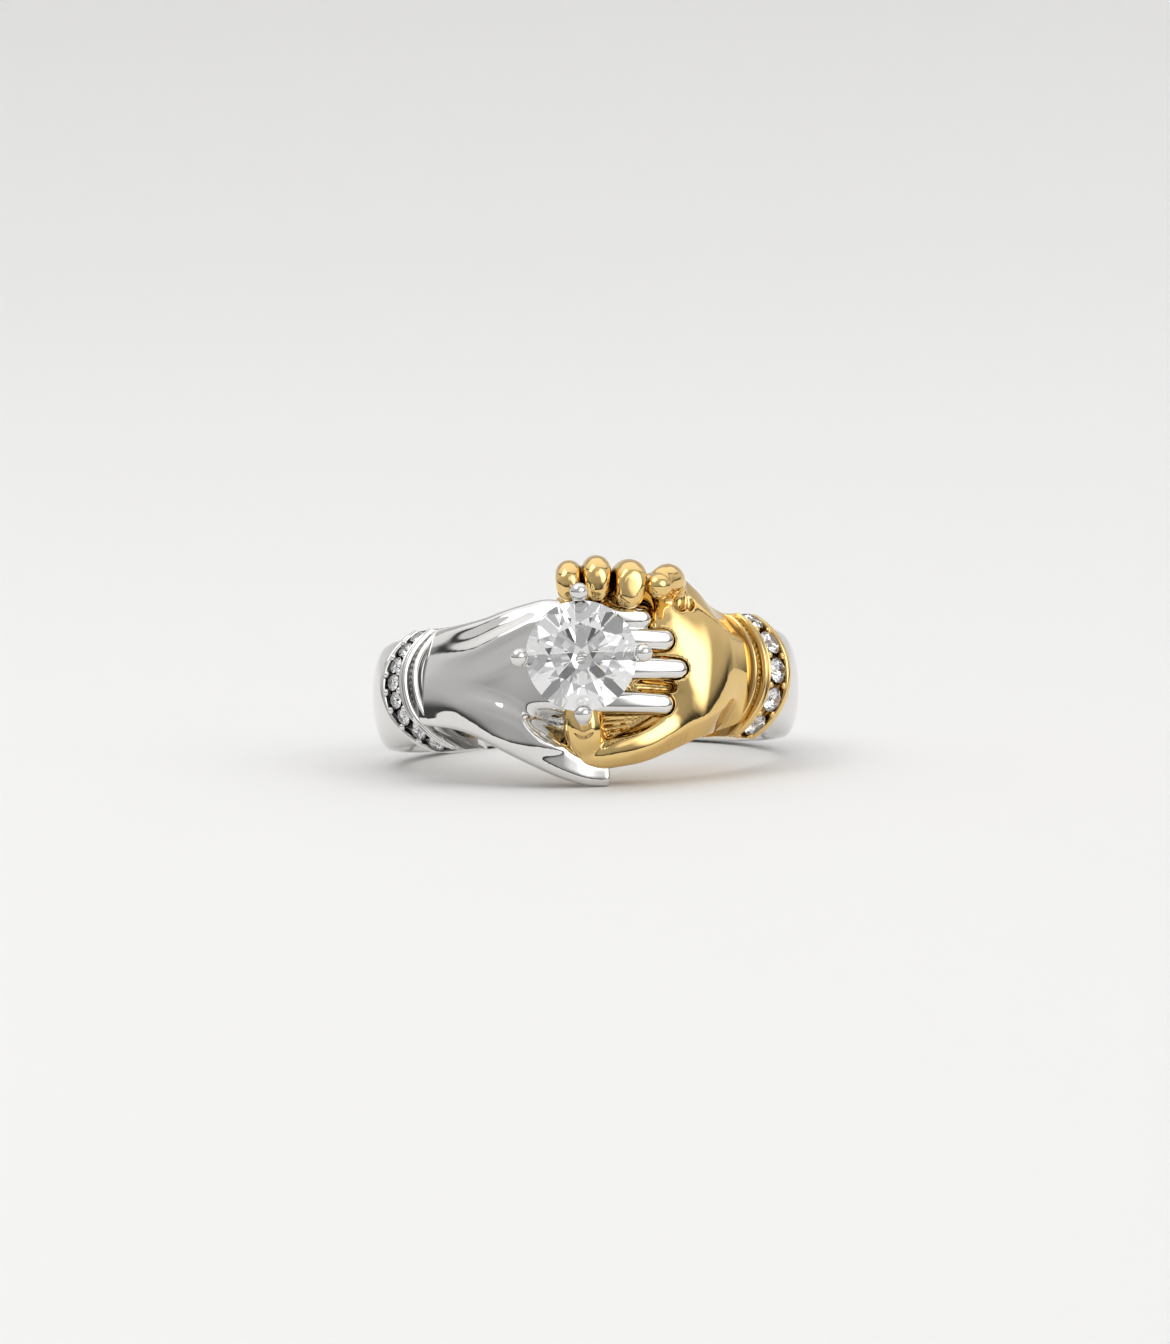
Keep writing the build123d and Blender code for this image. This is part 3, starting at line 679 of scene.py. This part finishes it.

# A cuff's profile from its rim to its mouth: share of its length, lift over the channel, painted shade of
# the channel and grooves
cuff_profile = np.array([
    (0.000, -0.30, 0.0), (0.004, 0.02, 0.0), (0.016, 0.10, 0.0), (0.035, 0.14, 0.0),
    (0.085, 0.14, 0.0), (0.108, 0.11, 0.0), (0.120, 0.05, 0.2), (0.128, -0.06, 0.7),
    (0.145, -0.60, 1.0), (0.345, -0.66, 1.0), (0.540, -0.60, 1.0), (0.556, -0.06, 0.7),
    (0.566, 0.06, 0.1), (0.574, 0.16, 0.0), (0.592, 0.18, 0.0), (0.606, 0.12, 0.1),
    (0.622, 0.06, 0.7), (0.640, 0.04, 0.8), (0.660, 0.06, 0.5), (0.678, 0.10, 0.0),
    (0.696, 0.22, 0.0), (0.716, 0.30, 0.0), (0.738, 0.30, 0.0), (0.756, 0.20, 0.1),
    (0.768, 0.04, 0.7), (0.776, -0.04, 0.9), (0.790, -0.06, 0.9), (0.805, -0.06, 0.9),
    (0.820, -0.06, 0.9), (0.835, -0.06, 0.9), (0.850, -0.06, 0.9), (0.865, -0.05, 0.9),
    (0.874, 0.02, 0.6), (0.886, 0.14, 0.0), (0.908, 0.17, 0.0), (0.928, 0.13, 0.0),
    (0.938, 0.00, 0.7), (0.948, -0.08, 1.0), (0.975, -0.10, 1.0), (0.996, -0.12, 0.8),
    (1.000, -0.30, 0.4),
])


def cuff_angles(share, height, sweep):
    """Angle from the front of a share of the cuff's length at a height from its own middle."""
    swept = smooth_table(height / CUFF_HALF_WIDTH, CUFF_LEVELS[:, 0], CUFF_LEVELS[:, 1])
    return CUFF_RIM_ANGLE + (CUFF_MOUTH_ANGLE - CUFF_RIM_ANGLE) * share - sweep * swept


def grid_faces(rows, columns, close):
    """Four-sided faces of a grid of points, its last column joined to its first one if closed."""
    number = np.arange(rows * columns).reshape(rows, columns)
    if close:
        number = np.column_stack([number, number[:, 0]])
    return np.stack(
        [number[:-1, :-1], number[1:, :-1], number[1:, 1:], number[:-1, 1:]], -1
    ).reshape(-1, 4)


def make_cuff(name, side, sweep, drop, material):
    """Sleeve cuff: rim, stone channel, bevel, roll, beaded groove and lip over a curved arc."""
    arc = np.linspace(-CUFF_STEEPEST, CUFF_STEEPEST, CUFF_POINTS)
    height = CUFF_ARC * np.sin(arc)
    rows = []
    shades = []
    for share, lift, painted_shade in cuff_profile:
        angle = side * cuff_angles(share, height, sweep)
        raised = np.full(len(arc), lift)
        if GROOVE_START <= share <= GROOVE_END:
            marks = np.sin(CUFF_ARC * arc * 2 * pi / MARK_PITCH + share * MARK_SLANT)
            raised = raised + MARK_HEIGHT * marks
        if FLANK_START < share < FLANK_END:
            flank = np.clip((-arc - FLANK_ARC) / FLANK_BLEND, 0, 1)
            raised = raised * (1 - flank) - FLANK_DEPTH * flank
            # The low flank is blended towards a strong painted shade
            painted_shade = painted_shade * (1 - flank) + FLANK_SHADE * flank
        fade = CHANNEL_FADE if share < CHANNEL_END else MOUTH_FADE
        raised = raised * np.clip((CUFF_STEEPEST - FADE_MARGIN - np.abs(arc)) / fade, 0, 1)
        radius = CUFF_ARC_CENTRE + (CUFF_ARC + raised) * np.cos(arc)
        z = (CUFF_ARC + raised) * np.sin(arc)
        outer = ring_points(angle, radius, z - drop)
        low_wall = np.linspace(BORE, radius[0], CUFF_WALL_POINTS)[:-1]
        high_wall = np.linspace(radius[-1], BORE, CUFF_WALL_POINTS)[1:]
        low_side = ring_points(angle[0], low_wall, z[0] - drop)
        high_side = ring_points(angle[-1], high_wall, z[-1] - drop)
        inner = ring_points(angle[-2:0:-12], BORE, height[-2:0:-12] - drop)
        rows.append(np.concatenate([low_side, outer, high_side, inner]))
        # Painted shade goes on the outer surface only. The end walls and the inside stay unshaded
        shades.append(np.concatenate([
            np.zeros(len(low_side)), np.broadcast_to(painted_shade, len(arc)),
            np.zeros(len(high_side)), np.zeros(len(inner)),
        ]))
    rows = [bore_row(rows[0])] + rows + [bore_row(rows[-1])]
    shades = [shades[0] * 0] + shades + [shades[-1] * 0]
    columns = len(rows[0])
    faces = grid_faces(len(rows), columns, True)
    if side < 0:
        faces = faces[:, ::-1]
    return make_piece(name, np.concatenate(rows), faces, material, np.concatenate(shades))


def bore_row(row):
    """A row of ring points moved in to the bore, which closes an end wall."""
    flat = np.hypot(row[:, 0], row[:, 1])
    moved = row.copy()
    moved[:, :2] *= (BORE / flat)[:, None]
    return moved


BEAD_RADIUS = 0.17
BEAD_LIFT = 0.02
BEAD_SHARES = (0.17, 0.52)
BEAD_END_MARGIN = 0.04
BALL_POLE = 0.02


def ball_mesh(centre, radius, rings=12, turns=20):
    """Points and faces of a small ball."""
    polar = np.linspace(BALL_POLE, pi - BALL_POLE, rings)
    around = np.linspace(0, 2 * pi, turns, endpoint=False)
    polar, around = np.meshgrid(polar, around, indexing="ij")
    across = np.sin(polar)
    points = np.stack([across * np.cos(around), across * np.sin(around), np.cos(polar)], -1)
    return points.reshape(-1, 3) * radius + centre, grid_faces(rings, turns, True)


def cuff_place(side, sweep, drop, climb, share, lift):
    """Point over a cuff's channel at an angle up its arc and a share of its length."""
    height = CUFF_ARC * sin(climb)
    angle = side * float(cuff_angles(share, np.array(height), sweep))
    radius = CUFF_ARC_CENTRE + (CUFF_ARC + lift) * cos(climb)
    return ring_points(angle, radius, (CUFF_ARC + lift) * sin(climb) - drop)


def cuff_beads(name, side, sweep, drop, count, pitch, offset, material):
    """Beads between the stones, raised from both walls of the channel."""
    points = []
    faces = []
    for index in range(count + 1):
        climb = (offset + pitch * (count / 2 - index)) / CUFF_ARC
        if abs(climb) > CUFF_STEEPEST - BEAD_END_MARGIN:
            continue
        for share in BEAD_SHARES:
            centre = cuff_place(side, sweep, drop, climb, share, BEAD_LIFT)
            ball, quads = ball_mesh(centre, BEAD_RADIUS)
            faces.append(quads + sum(len(earlier) for earlier in points))
            points.append(ball)
    return make_piece(name, np.concatenate(points), np.concatenate(faces), material)


WHITE_SWEEP, WHITE_DROP = 10.0, 0.23
YELLOW_SWEEP, YELLOW_DROP = 4.0, 0.0
# Stones of a cuff: count, pitch and offset along the arc
WHITE_STONES = (8, 0.88, 0.0)
YELLOW_STONES = (5, 1.44, 0.15)
cuffs = [
    make_cuff("white_cuff", -1, WHITE_SWEEP, WHITE_DROP, white_gold),
    make_cuff("yellow_cuff", 1, YELLOW_SWEEP, YELLOW_DROP, yellow_gold),
]
beads = [
    cuff_beads("white_cuff_beads", -1, WHITE_SWEEP, WHITE_DROP, *WHITE_STONES, white_gold),
    cuff_beads("yellow_cuff_beads", 1, YELLOW_SWEEP, YELLOW_DROP, *YELLOW_STONES, yellow_gold),
]


# Shank

shank_table = np.array([
    # angle, half width, thickness
    (56, 2.55, 1.75), (75, 2.55, 1.75), (100, 2.466, 1.72), (125, 2.214, 1.65), (150, 1.836, 1.59),
    (180, 1.5, 1.55), (210, 1.836, 1.59), (235, 2.214, 1.65), (260, 2.466, 1.72), (285, 2.55, 1.75),
    (304, 2.55, 1.75),
])


SHANK_CLEARANCE = 0.012


def make_shank():
    """D-shaped band with softened edges, from one cuff round the back to the other."""
    angles = np.linspace(shank_table[0, 0], shank_table[-1, 0], 249)
    width = smooth_table(angles, shank_table[:, 0], shank_table[:, 1])
    thick = smooth_table(angles, shank_table[:, 0], shank_table[:, 2])
    crest = np.linspace(-1, 1, 41)
    section = [(-0.97, 0.0), (-1.0, 0.03), (-1.0, 0.42)]
    section += [(0.985 * c, 0.5 + 0.5 * sqrt(1 - c * c * 0.98)) for c in crest]
    section += [(1.0, 0.42), (1.0, 0.03), (0.97, 0.0)]
    section += [(c, 0.0) for c in (0.5, 0.0, -0.5)]
    points = []
    for angle, half, height in zip(angles, width, thick):
        rows = np.array(section)
        radius = BORE + SHANK_CLEARANCE + rows[:, 1] * height
        points.append(ring_points(angle, radius, rows[:, 0] * half))
    faces = grid_faces(len(angles), len(section), True)
    return make_piece("shank", np.concatenate(points), faces[:, ::-1], white_gold)


shank = make_shank()
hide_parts("white_gold_band_and_hand")
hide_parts("yellow_gold_cuff_and_hand")

for name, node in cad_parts.items():
    node.data.materials.clear()
    node.data.materials.append(clear_stone if "diamond" in name else white_gold)


# Stage, light and camera

FLOOR_HALF_WIDTH = 5.0
FLOOR_HALF_DEPTH = 3.0
FLOOR_CURVE = 1.5
FLOOR_TOP = 5.0


def make_stage():
    """Pale seamless floor that curves up far behind the ring."""
    turn = np.linspace(0.1, pi / 2, 16)
    level = np.linspace(-FLOOR_HALF_DEPTH, FLOOR_HALF_DEPTH, 15)
    curve = FLOOR_HALF_DEPTH + FLOOR_CURVE * np.sin(turn)
    depth = np.concatenate([level, curve, [FLOOR_HALF_DEPTH + FLOOR_CURVE]])
    rise = np.concatenate([np.zeros(len(level)), FLOOR_CURVE * (1 - np.cos(turn)), [FLOOR_TOP]])
    points = [(x, y, z) for y, z in zip(depth, rise) for x in (-FLOOR_HALF_WIDTH, FLOOR_HALF_WIDTH)]
    faces = [(2 * i, 2 * i + 1, 2 * i + 3, 2 * i + 2) for i in range(len(depth) - 1)]
    mesh = bpy.data.meshes.new("floor")
    mesh.from_pydata(points, [], faces)
    for polygon in mesh.polygons:
        polygon.use_smooth = True
    floor = bpy.data.objects.new("floor", mesh)
    bpy.context.scene.collection.objects.link(floor)
    material, _, _, shader = node_material("floor")
    shader.inputs["Base Color"].default_value = (0.86, 0.855, 0.85, 1)
    shader.inputs["Roughness"].default_value = 0.7
    shader.inputs["Specular IOR Level"].default_value = 0.1
    mesh.materials.append(material)


# The studio: a bright ceiling round a lifted axis, a dark edge to it, then grey walls down to a
# dark line over the table. It is dimmer straight in front, and the wall behind the ring is pale.
CEILING_AXIS = (0.0, 0.5, 0.866)
ceiling_ramp = [
    # angle from the axis, light
    (0, 1.2), (34, 1.15), (44, 1.0), (51, 0.84), (52.5, 0.06), (54.5, 0.06), (56, 0.76), (66, 0.70),
    (72, 0.60), (88, 0.50), (100, 0.54), (180, 0.52),
]
horizon_ramp = [
    # height of the direction, share of the light
    (0.0, 0.10), (0.05, 0.14), (0.14, 0.80), (0.24, 1.0), (1.0, 1.0),
]
BACK_LIGHT = 0.74
BACK_START, BACK_FULL = 0.3, 0.6
front_ramp = [
    # share of half a turn from straight in front, share of the light
    (0.0, 0.30), (0.02, 0.34), (0.05, 0.80), (0.12, 0.86), (0.26, 1.0), (1.0, 1.0),
]
# Soft boxes: direction, half angle and softness in degrees, and light
soft_boxes = [
    ((0.596, -0.662, 0.454), 20.0, 8.0, 2.5),
    ((0.12, -0.85, 0.515), 9.0, 4.0, 0.7),
]


def make_world():
    """Studio light that depends on the direction only."""
    world = bpy.data.worlds.new("studio")
    bpy.context.scene.world = world
    world.use_nodes = True
    nodes = world.node_tree.nodes
    links = world.node_tree.links
    where = nodes.new("ShaderNodeTexCoord")
    parts = nodes.new("ShaderNodeSeparateXYZ")
    links.new(where.outputs["Generated"], parts.inputs["Vector"])

    def calculate(operation, first, second=None):
        node = nodes.new("ShaderNodeMath")
        node.operation = operation
        for socket, value in zip(node.inputs, (first, second)):
            if isinstance(value, (int, float)):
                socket.default_value = value
            elif value is not None:
                links.new(value, socket)
        return node.outputs["Value"]

    def angle_from(direction):
        dot = nodes.new("ShaderNodeVectorMath")
        dot.operation = "DOT_PRODUCT"
        dot.inputs[1].default_value = Vector(direction).normalized()
        links.new(where.outputs["Generated"], dot.inputs[0])
        return calculate("ARCCOSINE", dot.outputs["Value"])

    def ramp_value(value, rows, reach):
        strongest = max(light for _, light in rows)
        ramp = nodes.new("ShaderNodeValToRGB")
        while len(ramp.color_ramp.elements) < len(rows):
            ramp.color_ramp.elements.new(0.5)
        for element, (place, light) in zip(ramp.color_ramp.elements, rows):
            element.position = place / reach
            element.color = (light / strongest,) * 3 + (1,)
        links.new(value, ramp.inputs["Fac"])
        return calculate("MULTIPLY", ramp.outputs["Color"], strongest)

    ceiling = ramp_value(
        calculate("MULTIPLY", angle_from(CEILING_AXIS), 1 / pi), ceiling_ramp, 180
    )
    light = calculate("MULTIPLY", ceiling, ramp_value(parts.outputs["Z"], horizon_ramp, 1))
    front = calculate("MULTIPLY", angle_from((0, -1, 0)), 1 / pi)
    light = calculate("MULTIPLY", light, ramp_value(front, front_ramp, 1))
    behind = nodes.new("ShaderNodeMapRange")
    behind.interpolation_type = "SMOOTHSTEP"
    behind.inputs["From Min"].default_value = BACK_START
    behind.inputs["From Max"].default_value = BACK_FULL
    behind.inputs["To Max"].default_value = BACK_LIGHT
    links.new(parts.outputs["Y"], behind.inputs["Value"])
    light = calculate("MAXIMUM", light, behind.outputs["Result"])
    for direction, half_angle, softness, strength in soft_boxes:
        patch = nodes.new("ShaderNodeMapRange")
        patch.interpolation_type = "SMOOTHSTEP"
        patch.inputs["From Min"].default_value = radians(half_angle + softness)
        patch.inputs["From Max"].default_value = radians(half_angle - softness)
        patch.inputs["To Max"].default_value = strength
        links.new(angle_from(direction), patch.inputs["Value"])
        light = calculate("ADD", light, patch.outputs["Result"])
    links.new(light, nodes["Background"].inputs["Color"])
    nodes["Background"].inputs["Strength"].default_value = 1.0


def area_light(name, place, target, size, power):
    """Rectangular lamp that is aimed at a target."""
    data = bpy.data.lights.new(name, "AREA")
    data.shape = "RECTANGLE"
    data.size, data.size_y = size
    data.energy = power
    light = bpy.data.objects.new(name, data)
    bpy.context.scene.collection.objects.link(light)
    light.location = place
    aim = Vector(target) - Vector(place)
    light.rotation_euler = aim.to_track_quat("-Z", "Y").to_euler()


CAMERA_DISTANCE = 0.4
CAMERA_ELEVATION = radians(5.787)
CAMERA_ROLL = radians(-2.0)
CAMERA_TARGET_LIFT = 0.001
LENS = 219.6
SENSOR_HEIGHT = 36.0
KEY_PLACE = (-0.25, -0.12, 0.45)
KEY_SIZE = (0.3, 0.3)
KEY_POWER = 0.5


def make_camera():
    """Camera in front of the stone, a little above the floor, as the photograph was taken."""
    data = bpy.data.cameras.new("camera")
    data.lens = LENS
    data.sensor_fit = "VERTICAL"
    data.sensor_height = SENSOR_HEIGHT
    camera = bpy.data.objects.new("camera", data)
    bpy.context.scene.collection.objects.link(camera)
    centre = Vector(BORE_CENTRE * MILLIMETRE)
    away = Vector((0, -cos(CAMERA_ELEVATION), sin(CAMERA_ELEVATION)))
    camera.location = centre + away * CAMERA_DISTANCE
    target = centre + Vector((0, 0, CAMERA_TARGET_LIFT))
    look = (target - camera.location).to_track_quat("-Z", "Y").to_matrix().to_4x4()
    roll = Matrix.Rotation(CAMERA_ROLL, 4, "Z")
    camera.matrix_world = Matrix.Translation(camera.location) @ look @ roll
    bpy.context.scene.camera = camera


make_stage()
make_world()
area_light("key", KEY_PLACE, (0, 0, 0), KEY_SIZE, KEY_POWER)
make_camera()
bpy.context.scene.view_settings.view_transform = "Standard"
